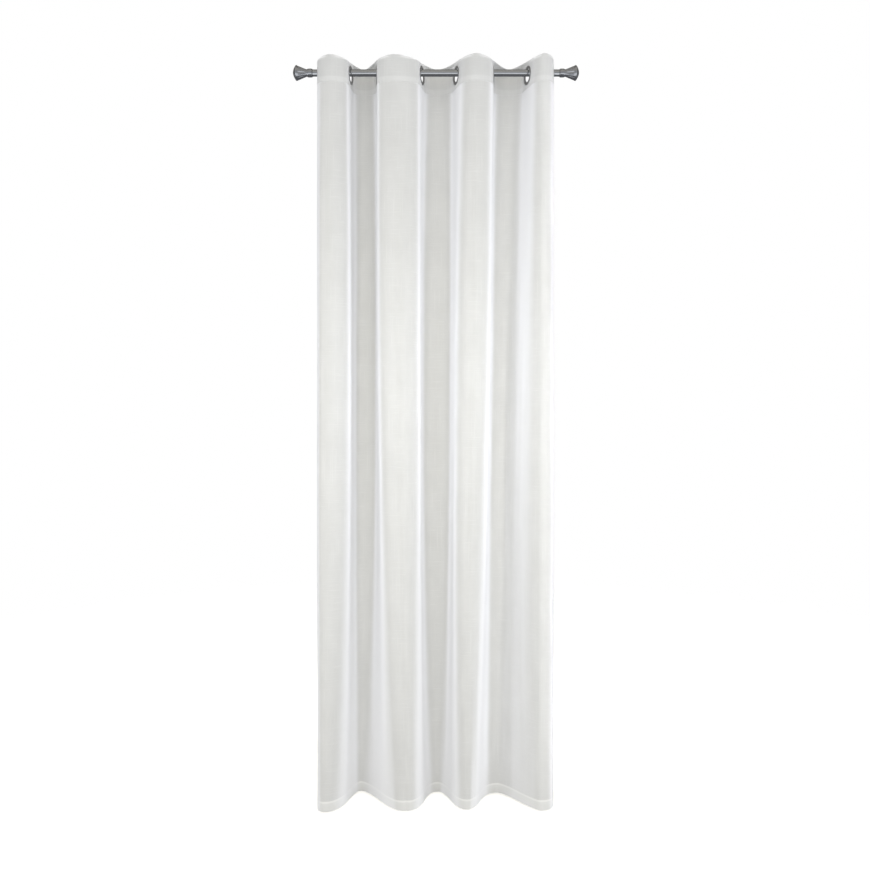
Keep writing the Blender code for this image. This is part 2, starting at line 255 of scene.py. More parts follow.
# Rows of stitches. Pitch, half width and groove are in metres, and the half length is a share of the pitch.
STITCH_PITCH = 0.003
STITCH_HALF_LENGTH = (0.30, 0.40)
STITCH_HALF_WIDTH = (0.00025, 0.00055)
STITCH_GROOVE = (0.0003, 0.0022)
STITCH_GROOVE_DEPTH = 0.8
SIDE_STITCH_SHARE = 0.8

# The cloths: thread colours in thin and full places, how see-through the cloth is, the share of light that
# comes through, how far it turns white where it is seen edge on, the height of its row of stitches, and
# whether its sides and foot are turned under
CLOTHS = {
    "voile": {
        "thin": (0.67, 0.673, 0.678), "full": (0.86, 0.863, 0.870), "openness": 0.10, "through": 0.35,
        "whitening": 0.85, "stitched_at": HEM_TOP - STITCH_INSET, "turned_under": True,
    },
    "heading_voile": {
        "thin": (0.60, 0.603, 0.598), "full": (0.76, 0.763, 0.757), "openness": 0.0, "through": 0.18,
        "whitening": 0.30, "stitched_at": SEAM_Z + STITCH_INSET, "turned_under": False,
    },
}
OPEN_THREADS = 0.6
OPEN_GAPS = 0.8
CLOTH_ROUGHNESS = 0.8
CLOTH_SPECULAR = 0.25
CLOTH_SHEEN = 0.6
CLOTH_SHEEN_ROUGHNESS = 0.4
CLOTH_BUMP = 0.22
CLOTH_BUMP_HEIGHT = 0.0006
EDGE_ON = (0.165, 0.59)
EDGE_ON_WHITE = (0.94, 0.945, 0.97)
THROUGH_COLOUR = (0.84, 0.84, 0.80)

# Doubled cloth is whiter, and so is the allowance turned in at the hem and up inside the heading. Millimetres
DOUBLED_WHITE = (0.86, 0.864, 0.858)
DOUBLED_SHARE = 0.6
DOUBLED_EDGE = 0.6
TURNED_AND_HIGHLIGHT_WHITE = (0.94, 0.94, 0.94)
# At the hem's top this white is also a painted highlight, for light caught by the hem's raised top edge
TURNED_IN_AND_HIGHLIGHT_BELOW_HEM_TOP = 3.2
TURNED_IN_AND_HIGHLIGHT_HALF = (2.2, 3.4)
TURNED_UP = (15.0, 22.0)
TURNED_UP_SHARE = 0.20

# The metals. Lines is how many times a metre the drawn lines change across their run.
#    name             dark                 light                roughness  lines   marks
METALS = {
    "ring_metal":   ((0.56, 0.56, 0.55),  (0.66, 0.66, 0.65),  0.32,      900.0,  0.10),
    "rod_metal":    ((0.46, 0.46, 0.455), (0.54, 0.54, 0.53),  0.16,      2600.0, 0.06),
    "finial_metal": ((0.38, 0.38, 0.38),  (0.46, 0.46, 0.46),  0.20,      1400.0, 0.08),
}
METAL_LINES_ALONG = 14.0
METAL_LINE_SHADE = (0.35, 0.65)
METAL_LINE_ROUGHNESS = 0.10
METAL_LINE_DETAIL = 2.0
METAL_MARKS_SCALE = 70.0
METAL_MARKS_DETAIL = 4.0
METAL_BUMP = 0.08
METAL_BUMP_HEIGHT = 0.0002

# The studio, metres. The floor fades over shares of its radius. Pairs for the surround are heights from -1,
# straight down, to 1, straight up. Glow lights the cloth, and shine is what metal mirrors.
FLOOR_GAP = 0.012
FLOOR_RADIUS = 4.0
FLOOR_FADE = (0.35, 0.98)
FLOOR_SIDES = 96
FLOOR_COLOUR = (0.93, 0.93, 0.93)
FLOOR_ROUGHNESS = 0.9
FLOOR_SPECULAR = 0.1
FLOOR_GLOW = 0.35
FLOOR_BOUNCE = (0.35, 0.35, 0.34)
WHITE = (1.0, 1.0, 1.0, 1.0)
BEHIND_OVER = (-0.1, 0.1)
GLOW_ABOVE = 1.76
GLOW_RISES_OVER = (0.0, 0.6)
GLOW_LEVEL = 1.04
GLOW_LEVEL_BAND = (0.15, 0.45)
GLOW_BEHIND = 0.05
GLOW_COOL = (0.89, 0.925, 1.0)
GLOW_WARM = (1.0, 0.984, 0.945)
GLOW_WARMS_OVER = (0.1, 0.5)
SHINE_ABOVE = 0.50
SHINE_ABOVE_OVER = (-0.45, -0.22)
SHINE_LOW = 1.40
SHINE_LOW_OVER = (-0.82, -0.62)
SHINE_BELOW = 0.20
SHINE_BEHIND = 0.20
#    name          place               aim                width high  watts spread colour
LAMPS = (
    ("front_soft", (0.0, -2.3, -1.05), (0.0, 0.0, -1.05),  1.80, 1.0, 17.40, 180.0, (1.0, 0.97, 0.88)),
    ("back_soft",  (0.0, 1.6, -1.05),  (0.0, 0.0, -1.05),  1.40, 0.9, 27.50, 180.0, (1.0, 0.965, 0.85)),
    ("left_grid",  (-2.4, -1.9, -1.0), (0.75, 0.0, -1.05), 0.50, 0.5,  0.35,  24.0, (0.94, 0.955, 1.0)),
    ("right_grid", (2.3, -1.5, -1.0),  (-0.5, 0.0, -1.05), 0.50, 0.5,  0.32,  24.0, (0.94, 0.955, 1.0)),
    ("right_soft", (2.15, -1.1, -1.1), (0.0, 0.0, -1.15),  0.90, 1.4,  8.20, 180.0, (0.90, 0.93, 1.0)),
    ("right_slot", (1.0, -2.2, -1.2),  (0.43, 0.0, -1.2),  0.15, 2.4,  0.44,  13.0, (0.97, 0.975, 1.0)),
)
LAMP_COLUMNS = ("name", "place", "aim", "width", "height", "watts", "spread", "colour")

# The camera, in metres, and the photo's pixels that it is worked out from
PHOTO_SIDE = 870
CAMERA_AT = (-0.0034, -2.85, -1.1226)
FOCAL_PIXELS = 842.7
HORIZON_ROW = 405
SENSOR = 36.0


# ---------------------------------------------------------------- the waves


def knots(level):
    """The waves at one level, as plan points and directions. level is edge, ring, mid or hem."""
    found = []
    forward = True
    down = HOW_FAR_DOWN[level]
    for row in WAVES:
        x = row["x_" + level]
        y = row["y_top"] * (1 - down) + row["y_hem"] * down
        direction = np.array((1.0, 0.0))
        if row["kind"] == "flank":
            turn = math.radians(row["lean_" + level])
            direction = np.array((math.sin(turn), -math.cos(turn) if forward else math.cos(turn)))
            forward = not forward
        found.append((np.array((x, y)), direction, row))
    return found


def curve_between(start, toward, end, arriving, corner):
    """A rounded corner from start to end, as plan points."""
    legs = np.linalg.solve(np.column_stack((toward, arriving)), end - start)
    reach = corner * np.maximum(legs, CORNER_LEAST_LEG * np.linalg.norm(end - start))
    first = start + toward * reach[0]
    second = end - arriving * reach[1]
    t = np.linspace(0.0, 1.0, CURVE_STEPS + 1)[:, None]
    return (1 - t) ** 3 * start + 3 * (1 - t) ** 2 * t * first + 3 * (1 - t) * t ** 2 * second + t ** 3 * end


def stretches(level):
    """The section at one level, cut at every row of the waves, as a list of plan polylines."""
    rows = knots(level)
    straight = STRAIGHT_AT_FLANK[level]
    found = [np.array((rows[0][0] - rows[0][1] * SIDE_TO_FIRST_RING, rows[0][0]))]
    for (start, toward, row), (end, arriving, after) in zip(rows, rows[1:]):
        inner_start = start + toward * (straight if row["kind"] == "flank" else 0.0)
        inner_end = end - arriving * (straight if after["kind"] == "flank" else 0.0)
        corner = row.get("corner_" + level, CORNER_AT_TOP)
        line = curve_between(inner_start, toward, inner_end, arriving, corner)
        found.append(np.vstack((start, line, end)))
    found.append(np.array((rows[-1][0], rows[-1][0] + rows[-1][1] * SIDE_TO_FIRST_RING)))
    return found


def lengths(line):
    """Distance along a polyline at each of its points."""
    steps = np.hypot(*np.diff(line, axis=0).T)
    return np.concatenate(((0.0,), np.cumsum(steps)))


def column_shares(step):
    """Where the cloth's columns lie in each stretch, as shares of its length, about a step apart."""
    counts = [math.ceil(lengths(line)[-1] / step) for line in stretches("ring")]
    return [np.linspace(0.0, 1.0, count + 1) for count in counts]


def section(level, all_shares):
    """Plan points of every column at one level."""
    points = []
    for line, shares in zip(stretches(level), all_shares):
        along = lengths(line)
        x = np.interp(shares * along[-1], along, line[:, 0])
        y = np.interp(shares * along[-1], along, line[:, 1])
        points.append(np.column_stack((x, y))[(1 if points else 0):])
    return np.vstack(points)


def stretch_starts():
    """How far along the flat cloth each stretch starts, and where the last one ends."""
    starts = np.concatenate(((0.0,), np.cumsum([lengths(line)[-1] for line in stretches("ring")])))
    return starts * FLAT_WIDTH / starts[-1]


def columns_along(all_shares):
    """How far along the flat cloth each column lies."""
    starts = stretch_starts()
    along = []
    for start, end, shares in zip(starts, starts[1:], all_shares):
        along.append((start + shares * (end - start))[(1 if along else 0):])
    return np.concatenate(along)


def wave_middles():
    """How far along the flat cloth the middle of each wave lies, by name."""
    return {row["name"]: start for row, start in zip(WAVES, stretch_starts()[1:])}


def eased(t):
    """Smooth step from 0 to 1."""
    t = np.clip(t, 0.0, 1.0)
    return t * t * (3 - 2 * t)


def cloth_middle(heights, all_shares):
    """The cloth's middle surface, as rows of points in millimetres."""
    edge, ring, mid, hem = (section(level, all_shares) for level in ("edge", "ring", "mid", "hem"))
    flat_top = EYELET_Z + FLAT_AT_RING
    flat_foot = EYELET_Z - FLAT_AT_RING
    rows = []
    for z in heights:
        if z > flat_top:
            share = eased((z - flat_top) / (TOP_Z - flat_top))
            plan = ring * (1 - share) + edge * share
        elif z >= flat_foot:
            plan = ring
        else:
            t = (flat_foot - z) / (flat_foot - HEM_Z)
            plan = ring * (1 - t) * (1 - 2 * t) + mid * 4 * t * (1 - t) + hem * t * (2 * t - 1)
        rows.append(np.column_stack((plan, np.full(len(plan), z))))
    return np.array(rows)


def surface_normals(grid):
    """Unit normals of a grid of points. They face the room on a front wave."""
    across = np.gradient(grid, axis=1)
    down = np.gradient(grid, axis=0)
    normals = np.cross(across, down)
    return -normals / np.linalg.norm(normals, axis=2, keepdims=True)


# ---------------------------------------------------------------- the cloth


def crease_relief(along, heights):
    """How far the soft creases push the cloth out, over a grid of rows and columns."""
    z = heights[:, None]
    middles = wave_middles()
    relief = np.zeros((len(heights), len(along)))
    for crease in CREASES:
        t = (crease["top"] - z) / (crease["top"] - crease["foot"])
        centre = middles[crease["wave"]] + crease["aside_top"] * (1 - t) + crease["aside_foot"] * t
        fade = eased((crease["top"] - z) / CREASE_FADE)
        if crease["foot"] > HEM_TOP:
            fade = fade * eased((z - crease["foot"]) / CREASE_FADE)
        relief += crease["depth"] * fade * np.exp(-((along[None, :] - centre) / crease["width"]) ** 2)
    return relief


def uneven_relief(along, heights):
    """Slow unevenness, long in the drop and short across, as hung cloth has. It grows away from the seam."""
    found = np.zeros((len(heights), len(along)))
    for across, down, layer, share in UNEVEN_LAYERS:
        for row, z in enumerate(heights):
            found[row] += [share * noise.noise((a / across, z / down, layer)) for a in along]
    grown = eased((SEAM_Z - heights) / UNEVEN_GROWS_OVER)[:, None]
    return UNEVEN_DEPTH * found * (UNEVEN_AT_SEAM + (1.0 - UNEVEN_AT_SEAM) * grown)


def pucker_relief(along, heights, lines):
    """Small puckers along lines of stitches."""
    ripple = sum(share * np.sin(along / pitch * math.tau + start) for pitch, share, start in PUCKER_RIPPLES)
    near = sum(share * np.exp(-((heights - line_z) / reach) ** 2) for line_z, reach, share in lines)
    return PUCKER_DEPTH * near[:, None] * ripple[None, :]


def stitch_dent(heights, line_z):
    """How much a row of stitches draws the cloth in, by height."""
    return STITCH_SINK * np.exp(-((heights - line_z) / STITCH_REACH) ** 2)


def open_edges(quads):
    """The edges that only one of the quads uses, each run the way that its quad runs it."""
    once = {}
    for quad in quads:
        for start, end in zip(quad, quad[1:] + quad[:1]):
            if once.pop((end, start), None) is None:
                once[(start, end)] = True
    return list(once)


def corners_of(cells):
    """The grid points at the corners of the marked cells."""
    marked = np.zeros((cells.shape[0] + 1, cells.shape[1] + 1), bool)
    for row, column in ((0, 0), (0, 1), (1, 0), (1, 1)):
        marked[row:row + cells.shape[0], column:column + cells.shape[1]] |= cells
    return marked


def rim_points(front, back, ahead, behind):
    """A point outside the cloth beside each point of its open edges, so that the edges are round."""
    found = []
    for point, after in ahead.items():
        across = front[point] - back[point]
        outward = np.cross(front[after] - front[behind[point]], across)
        outward = outward / np.linalg.norm(outward)
        bulge = EDGE_BULGE * np.linalg.norm(across)
        found.append((front[point] + back[point]) / 2 + outward * bulge)
    return np.array(found)


def closed_sheet(name, middle, thickness, along, heights, left_out):
    """A closed mesh about a middle surface, with round edges, and a map of the flat cloth in metres."""
    half = surface_normals(middle) * thickness[:, :, None] / 2
    used = corners_of(~left_out)
    count = int(used.sum())
    number = np.full(used.shape, -1)
    number[used] = np.arange(count)
    front = (middle + half)[used]
    back = (middle - half)[used]
    faces = []
    for r, c in zip(*np.nonzero(~left_out)):
        quad = (number[r, c], number[r + 1, c], number[r + 1, c + 1], number[r, c + 1])
        faces.append(tuple(int(n) for n in quad))
    edges = open_edges(faces)
    ahead = dict(edges)
    behind = {end: start for start, end in edges}
    rim = rim_points(front, back, ahead, behind)
    place = {point: 2 * count + order for order, point in enumerate(ahead)}
    quads = faces + [tuple(n + count for n in reversed(quad)) for quad in faces]
    for start, end in edges:
        quads.append((end, start, place[start], place[end]))
        quads.append((place[end], place[start], start + count, end + count))
    mesh = bpy.data.meshes.new(name)
    mesh.from_pydata((np.vstack((front, back, rim)) * MM).tolist(), [], quads)
    flat = np.stack(np.broadcast_arrays(along[None, :], (TOP_Z - heights)[:, None]), axis=2)[used] * MM
    owner = np.concatenate((np.arange(count), np.arange(count), np.array(list(ahead))))
    corners = np.zeros(len(mesh.loops), np.int32)
    mesh.loops.foreach_get("vertex_index", corners)
    layer = mesh.uv_layers.new(name=FLAT_MAP)
    layer.uv.foreach_set("vector", flat[owner[corners]].astype(np.float32).ravel())
    mesh.polygons.foreach_set("use_smooth", np.ones(len(mesh.polygons), bool))
    mesh.update()
    return mesh


def side_hem_share(along):
    """1 in the turned side hems and 0 elsewhere, by column."""
    inside = np.minimum(along, FLAT_WIDTH - along)
    return 1.0 - eased((inside - SIDE_HEM + SIDE_HEM_STEP / 2) / SIDE_HEM_STEP)


def panel_heights():
    """The heights of the panel's rows, from the seam to the hem's foot."""
    top = SEAM_Z - SEAM_JOIN
    below_seam = top - np.array(PANEL_BELOW_SEAM)
    even = np.linspace(top - PANEL_EVEN_BELOW_SEAM, HEM_TOP + PANEL_EVEN_ABOVE_HEM, PANEL_EVEN_ROWS)
    about_hem_top = HEM_TOP + np.array(PANEL_ABOUT_HEM_TOP)
    return np.concatenate((below_seam, even, about_hem_top, (HEM_Z + PANEL_LAST_ROW,)))


def make_panel(material):
    """The hanging cloth below the heading, with creases, its turned side edges and its sewn hem."""
    shares = column_shares(PANEL_COLUMN)
    heights = panel_heights()
    along = columns_along(shares)
    middle = cloth_middle(heights, shares)
    relief = crease_relief(along, heights) + uneven_relief(along, heights)
    relief += pucker_relief(along, heights, PANEL_PUCKERS)
    relief *= eased((SEAM_Z - heights) / PANEL_STILL_BELOW_SEAM)[:, None]
    middle = middle + surface_normals(middle) * relief[:, :, None]
    in_hem = 1.0 - eased((heights - HEM_TOP + HEM_STEP / 2) / HEM_STEP)
    turned_under = np.maximum(in_hem[:, None], SIDE_HEM_FULLNESS * side_hem_share(along)[None, :])
    thickness = CLOTH_THICKNESS + (HEM_THICKNESS - CLOTH_THICKNESS) * turned_under
    thickness = thickness - stitch_dent(heights, HEM_TOP - STITCH_INSET)[:, None]
    left_out = np.zeros((len(heights) - 1, len(along) - 1), bool)
    mesh = closed_sheet("voile_panel", middle, thickness, along, heights, left_out)
    return new_piece("voile_panel", mesh, material)


def cut_ring_holes(middle):
    """Leave out the heading's cells inside each ring and draw the cells round them to a round hole."""
    left_out = np.zeros((middle.shape[0] - 1, middle.shape[1] - 1), bool)
    for point, direction in ring_places():
        sideways = (middle[:, :, :2] - point) @ direction
        off_plane = (middle[:, :, :2] - point) @ np.array((-direction[1], direction[0]))
        lift = middle[:, :, 2] - EYELET_Z
        in_plane = np.abs(off_plane) < RING_PLANE_REACH
        far = np.where(in_plane, np.hypot(sideways, lift), np.inf)
        centre = (far[:-1, :-1] + far[1:, :-1] + far[1:, 1:] + far[:-1, 1:]) / 4
        cells = centre < HOLE_IN_CLOTH + HOLE_CELL_REACH
        left_out |= cells
        edge = corners_of(cells) & corners_of(~cells)
        drawn = HOLE_IN_CLOTH / far[edge]
        plan = point + direction * (sideways[edge] * drawn)[:, None]
        middle[edge] = np.column_stack((plan, EYELET_Z + lift[edge] * drawn))
    return left_out


def heading_heights():
    """The heights of the heading's rows, from the top edge to the seam."""
    below_top = TOP_Z - np.array(HEADING_BELOW_TOP)
    even = np.linspace(TOP_Z - HEADING_EVEN_BELOW_TOP, SEAM_Z + HEADING_EVEN_ABOVE_SEAM, HEADING_EVEN_ROWS)
    return np.concatenate((below_top, even, SEAM_Z + np.array(HEADING_ABOVE_SEAM)))


def make_heading(material):
    """The doubled band that holds the rings, sewn along its foot."""
    shares = column_shares(HEADING_COLUMN)
    heights = heading_heights()
    along = columns_along(shares)
    middle = cloth_middle(heights, shares)
    relief = pucker_relief(along, heights, HEADING_PUCKERS)
    relief += UNEVEN_IN_HEADING * uneven_relief(along, heights)
    by_seam = eased((SEAM_Z + HEADING_STILL_ABOVE_SEAM - heights) / HEADING_STILL_ABOVE_SEAM)
    by_top = eased((heights - TOP_Z + HEADING_STILL_BELOW_TOP) / HEADING_STILL_BELOW_TOP)
    relief *= (by_seam + by_top)[:, None]
    middle = middle + surface_normals(middle) * relief[:, :, None]
    left_out = cut_ring_holes(middle)
    rounding = np.exp(-((TOP_Z - heights) / TOP_ROUNDING_REACH) ** 2) * TOP_ROUNDING
    thickness = HEADING_THICKNESS - stitch_dent(heights, SEAM_Z + STITCH_INSET) - rounding
    thickness = np.repeat(thickness[:, None], len(along), axis=1)
    mesh = closed_sheet("heading_band", middle, thickness, along, heights, left_out)
    return new_piece("heading_band", mesh, material)


# ---------------------------------------------------------------- rings, rod and finials


def new_piece(name, mesh, material):
    """An object of a mesh, with its material."""
    item = bpy.data.objects.new(name, mesh)
    mesh.materials.append(material)
    bpy.context.scene.collection.objects.link(item)
    return item


def ring_places():
    """Centre and plan direction of each ring."""
    return [(point, direction) for point, direction, row in knots("ring") if row["kind"] == "flank"]


def ring_matrix(point, direction):
    """Turns a ring that was made about Z to lie in its flank of cloth."""
    columns = Matrix(((0.0, 0.0, 1.0), (*direction, 0.0), (direction[1], -direction[0], 0.0)))
    turn = columns.transposed().to_4x4()
    return Matrix.Translation((point[0] * MM, point[1] * MM, EYELET_Z * MM)) @ turn


def turned(name, profile, steps, closed, radius_of=None):
    """A profile of (radius, height) turned about Z. radius_of may change a radius by its place and angle."""
    mesh = bpy.data.meshes.new(name)
    solid = bmesh.new()
    rings = []
    for index, (radius, height) in enumerate(profile):
        if radius == 0.0:
            rings.append([solid.verts.new((0.0, 0.0, height * MM))] * steps)
            continue
        ring = []
        for step in range(steps):
            angle = math.tau * step / steps
            r = radius if radius_of is None else radius_of(index, radius, angle)
            ring.append(solid.verts.new((r * MM * math.cos(angle), r * MM * math.sin(angle), height * MM)))
        rings.append(ring)
    pairs = list(zip(rings, rings[1:])) + ([(rings[-1], rings[0])] if closed else [])
    for lower, upper in pairs:
        for step in range(steps):
            after = (step + 1) % steps
            corners = (lower[step], lower[after], upper[after], upper[step])
            face = solid.faces.new(tuple(dict.fromkeys(corners)))
            face.smooth = True
    bmesh.ops.recalc_face_normals(solid, faces=solid.faces)
    solid.to_mesh(mesh)
    solid.free()
    return mesh


def rolled_edge(centre_radius, centre_height, radius, arc):
    """Profile points on an arc. Angles run from 0 on the outer side to 90 on top."""
    found = []
    for step in range(ARC_STEPS + 1):
        angle = math.radians(arc[0] + (arc[1] - arc[0]) * step / ARC_STEPS)
        found.append((centre_radius + radius * math.cos(angle), centre_height + radius * math.sin(angle)))
    return found


def ring_profile():
    """Section of a ring: two pressed washers with rolled edges, on the barrel that goes through the cloth."""
    outer = RING_OUTER / 2
    hole = RING_HOLE / 2
    half = RING_THICKNESS / 2
    slot = HEADING_THICKNESS / 2 + RING_CLOTH_GAP
    edge = (half - slot) / 2
    upper = [(hole + RING_BARREL_WALL, slot), (outer - edge, slot)]
    upper += rolled_edge(outer - edge, slot + edge, edge, RING_OUTER_ARC)
    upper.append((outer - RING_OUTER_SHOULDER[0], half - RING_OUTER_SHOULDER[1]))
    upper.append(((outer + hole) / 2, half))
    upper.append((hole + RING_ROLL + RING_INNER_SHOULDER[0], half - RING_INNER_SHOULDER[1]))
    upper += rolled_edge(hole + RING_ROLL, half - RING_ROLL, RING_ROLL, RING_INNER_ARC)
    return upper + [(radius, -height) for radius, height in reversed(upper)]


def make_rings(material):
    """Eight rings, each in its flank."""
    made = []
    for number, (point, direction) in enumerate(ring_places(), 1):
        name = f"ring_{number}"
        item = new_piece(name, turned(name, ring_profile(), RING_STEPS, True), material)
        item.data.transform(ring_matrix(point, direction))
        made.append(item)
    return made


def make_rod(material):
    """The plain round rod, its ends eased where they go into the finials."""
    ease = ROD_END_EASE
    profile = [(0.0, ROD_HALF), (ROD_RADIUS - ease, ROD_HALF), (ROD_RADIUS, ROD_HALF - ease)]
    profile += [(ROD_RADIUS, ROD_HALF * share) for share in (0.5, 0.0, -0.5)]
    profile += [(ROD_RADIUS, ease - ROD_HALF), (ROD_RADIUS - ease, -ROD_HALF), (0.0, -ROD_HALF)]
    item = new_piece("round_rod", turned("round_rod", profile, ROD_STEPS, False), material)
    item.data.transform(Matrix.Rotation(math.pi / 2, 4, "Y"))
    return item


def make_finial(name, side, material):
    """A flared and fluted finial with a rounded collar. side is -1 for left and 1 for right."""
    bore = ROD_RADIUS + FINIAL_CLEARANCE
    depth = ROD_HALF - COLLAR_START + FINIAL_CLEARANCE
    profile = [(0.0, FINIAL_TIP)] + [(radius, along) for _, along, radius, _ in reversed(FINIAL_SIDE)]
    inside = [(bore, FINIAL_MOUTH), (bore, depth), (0.0, depth)]
    flutes = [0.0] + [flute for *_, flute in reversed(FINIAL_SIDE)] + [0.0] * len(inside)

    def fluted(index, radius, angle):
        """A radius cut in by the flutes."""
        return radius - flutes[index] * (0.5 - 0.5 * math.cos(FLUTES * angle))

    item = new_piece(name, turned(name, profile + inside, FINIAL_STEPS, False, fluted), material)
    turn = Matrix.Rotation(side * math.pi / 2, 4, "Y")
    item.data.transform(Matrix.Translation((side * COLLAR_START * MM, 0.0, 0.0)) @ turn)
    return item


# ---------------------------------------------------------------- finishes


def node(tree, kind, settings=None, **values):
    """A shader node with its settings and the values of its sockets, by name with spaces as underscores."""
    made = tree.nodes.new("ShaderNode" + kind)
    for name, value in (settings or {}).items():
        setattr(made, name, value)
    put_all(tree, made, **values)
    return made


def put(tree, made, name, value):
    """Give a socket a value, or link another socket to it. The name may be the socket's number."""
    socket = made.inputs[name] if name in made.inputs else made.inputs[int(name)]
    if isinstance(value, bpy.types.NodeSocket):
        tree.links.new(value, socket)
    else:
        socket.default_value = value


def put_all(tree, made, **values):
    """Give several sockets their values, by name with spaces as underscores."""
    for name, value in values.items():
        put(tree, made, name.replace("_", " "), value)


def math_of(tree, operation, *values):
    """The output of a Math node."""
    made = node(tree, "Math", {"operation": operation})
    for index, value in enumerate(values):
        put(tree, made, str(index), value)
    return made.outputs[0]


def plus(tree, first, second):
    """The sum of two values."""
    return math_of(tree, "ADD", first, second)


def minus(tree, first, second):
    """The first value less the second."""
    return math_of(tree, "SUBTRACT", first, second)


def times(tree, first, second):
    """The product of two values."""
    return math_of(tree, "MULTIPLY", first, second)


def mapped(tree, value, low, high, new_low=0.0, new_high=1.0):
    """A value taken smoothly from one range to another."""
    made = node(tree, "MapRange", {"interpolation_type": "SMOOTHSTEP"}, Value=value, From_Min=low,
                From_Max=high, To_Min=new_low, To_Max=new_high)
    return made.outputs["Result"]


def mixed_value(tree, share, first, second):
    """A value mixed by a share."""
    made = node(tree, "Mix", {"data_type": "FLOAT"})
    put(tree, made, "0", share)
    put(tree, made, "2", first)
    put(tree, made, "3", second)
    return made.outputs[0]


def mixed_colour(tree, share, first, second):
    """A colour mixed by a share. Either may be a colour or a socket."""
    made = node(tree, "Mix", {"data_type": "RGBA"})
    put(tree, made, "0", share)
    for place, colour in (("6", first), ("7", second)):
        put(tree, made, place, colour if isinstance(colour, bpy.types.NodeSocket) else (*colour, 1.0))
    return made.outputs[2]


def mixed_shader(tree, share, first, second):
    """A shader mixed by a share."""
    made = node(tree, "MixShader", Fac=share)
    put(tree, made, "1", first)
    put(tree, made, "2", second)
    return made.outputs[0]


def scaled_vector(tree, vector, scale):
    """A vector times a scale on each axis."""
    made = node(tree, "VectorMath", {"operation": "MULTIPLY"})
    put(tree, made, "0", vector)
    put(tree, made, "1", scale)
    return made.outputs[0]


def cloth_noise(tree, flat, name):
    """One of the named noises, on the flat cloth's map."""
    across, down, detail = NOISES[name]
    place = scaled_vector(tree, flat, (across, down, 1.0))
    return node(tree, "TexNoise", Vector=place, Scale=1.0, Detail=detail).outputs["Fac"]


def new_group(name, inputs, outputs):
    """A shader node group. An input is (name, kind, value), and an output is (name, kind)."""
    group = bpy.data.node_groups.new(name, "ShaderNodeTree")
    for label, kind, value in inputs:
        socket = group.interface.new_socket(name=label, in_out="INPUT", socket_type="NodeSocket" + kind)
        if value is not None:
            socket.default_value = value
    for label, kind in outputs:
        group.interface.new_socket(name=label, in_out="OUTPUT", socket_type="NodeSocket" + kind)
    return group, group.nodes.new("NodeGroupInput").outputs, group.nodes.new("NodeGroupOutput")


def placed_group(tree, group, **values):
    """A group placed in a material, with its values."""
    return node(tree, "Group", {"node_tree": group}, **values).outputs


def voile_weave_group():
    """Plain weave of fine uneven threads, on the flat cloth's map in metres."""
    group, given, out = new_group(
        "voile_weave",
        (("Flat", "Vector", None), ("Threads", "Float", THREADS_PER_METRE), ("Slub", "Float", SLUB_STRENGTH)),
        (("Height", "Float"), ("Shade", "Float"), ("Gap", "Float"), ("Slubs", "Float")),
    )
    flat = given["Flat"]
    wobble = minus(group, cloth_noise(group, flat, "thread_drift"), 0.5)
    drift = times(group, wobble, THREAD_DRIFT)
    split = node(group, "SeparateXYZ", Vector=flat)
    threads = []
    for axis in ("X", "Y"):
        count = times(group, split.outputs[axis], given["Threads"])
        turn = times(group, plus(group, count, drift), math.pi)
        threads.append(math_of(group, "ABSOLUTE", math_of(group, "SINE", turn)))
    crossing = times(group, *threads)
    widest = math_of(group, "MAXIMUM", *threads)
    weft = mapped(group, cloth_noise(group, flat, "weft_slubs"), *WEFT_SLUB)
    warp = mapped(group, cloth_noise(group, flat, "warp_slubs"), *WARP_SLUB)
    slubs = times(group, math_of(group, "MAXIMUM", weft, warp), given["Slub"])
    mottle = times(group, cloth_noise(group, flat, "mottle"), MOTTLE_SHADE)
    shade = plus(group, mottle, times(group, slubs, SLUB_SHADE))
    put(group, out, "Height", plus(group, times(group, crossing, THREAD_RELIEF), slubs))
    put(group, out, "Shade", shade)
    put(group, out, "Gap", mapped(group, widest, *THREAD_GAP, 1.0, 0.0))
    put(group, out, "Slubs", slubs)
    return group


def stitch_row_group():
    """A row of stitches: short raised threads in a sunk line. Off is the distance from the line."""
    group, given, out = new_group(
        "stitch_row",
        (("Along", "Float", 0.0), ("Off", "Float", 0.0), ("Stitch", "Float", STITCH_PITCH)),
        (("Thread", "Float"), ("Height", "Float")),
    )
    off = math_of(group, "ABSOLUTE", given["Off"])
    beat = math_of(group, "FRACT", math_of(group, "DIVIDE", given["Along"], given["Stitch"]))
    beat = math_of(group, "ABSOLUTE", minus(group, beat, 0.5))
    length = mapped(group, beat, *STITCH_HALF_LENGTH, 1.0, 0.0)
    thread = times(group, length, mapped(group, off, *STITCH_HALF_WIDTH, 1.0, 0.0))
    groove = times(group, mapped(group, off, *STITCH_GROOVE, 1.0, 0.0), STITCH_GROOVE_DEPTH)
    put(group, out, "Thread", thread)
    put(group, out, "Height", minus(group, thread, groove))
    return group


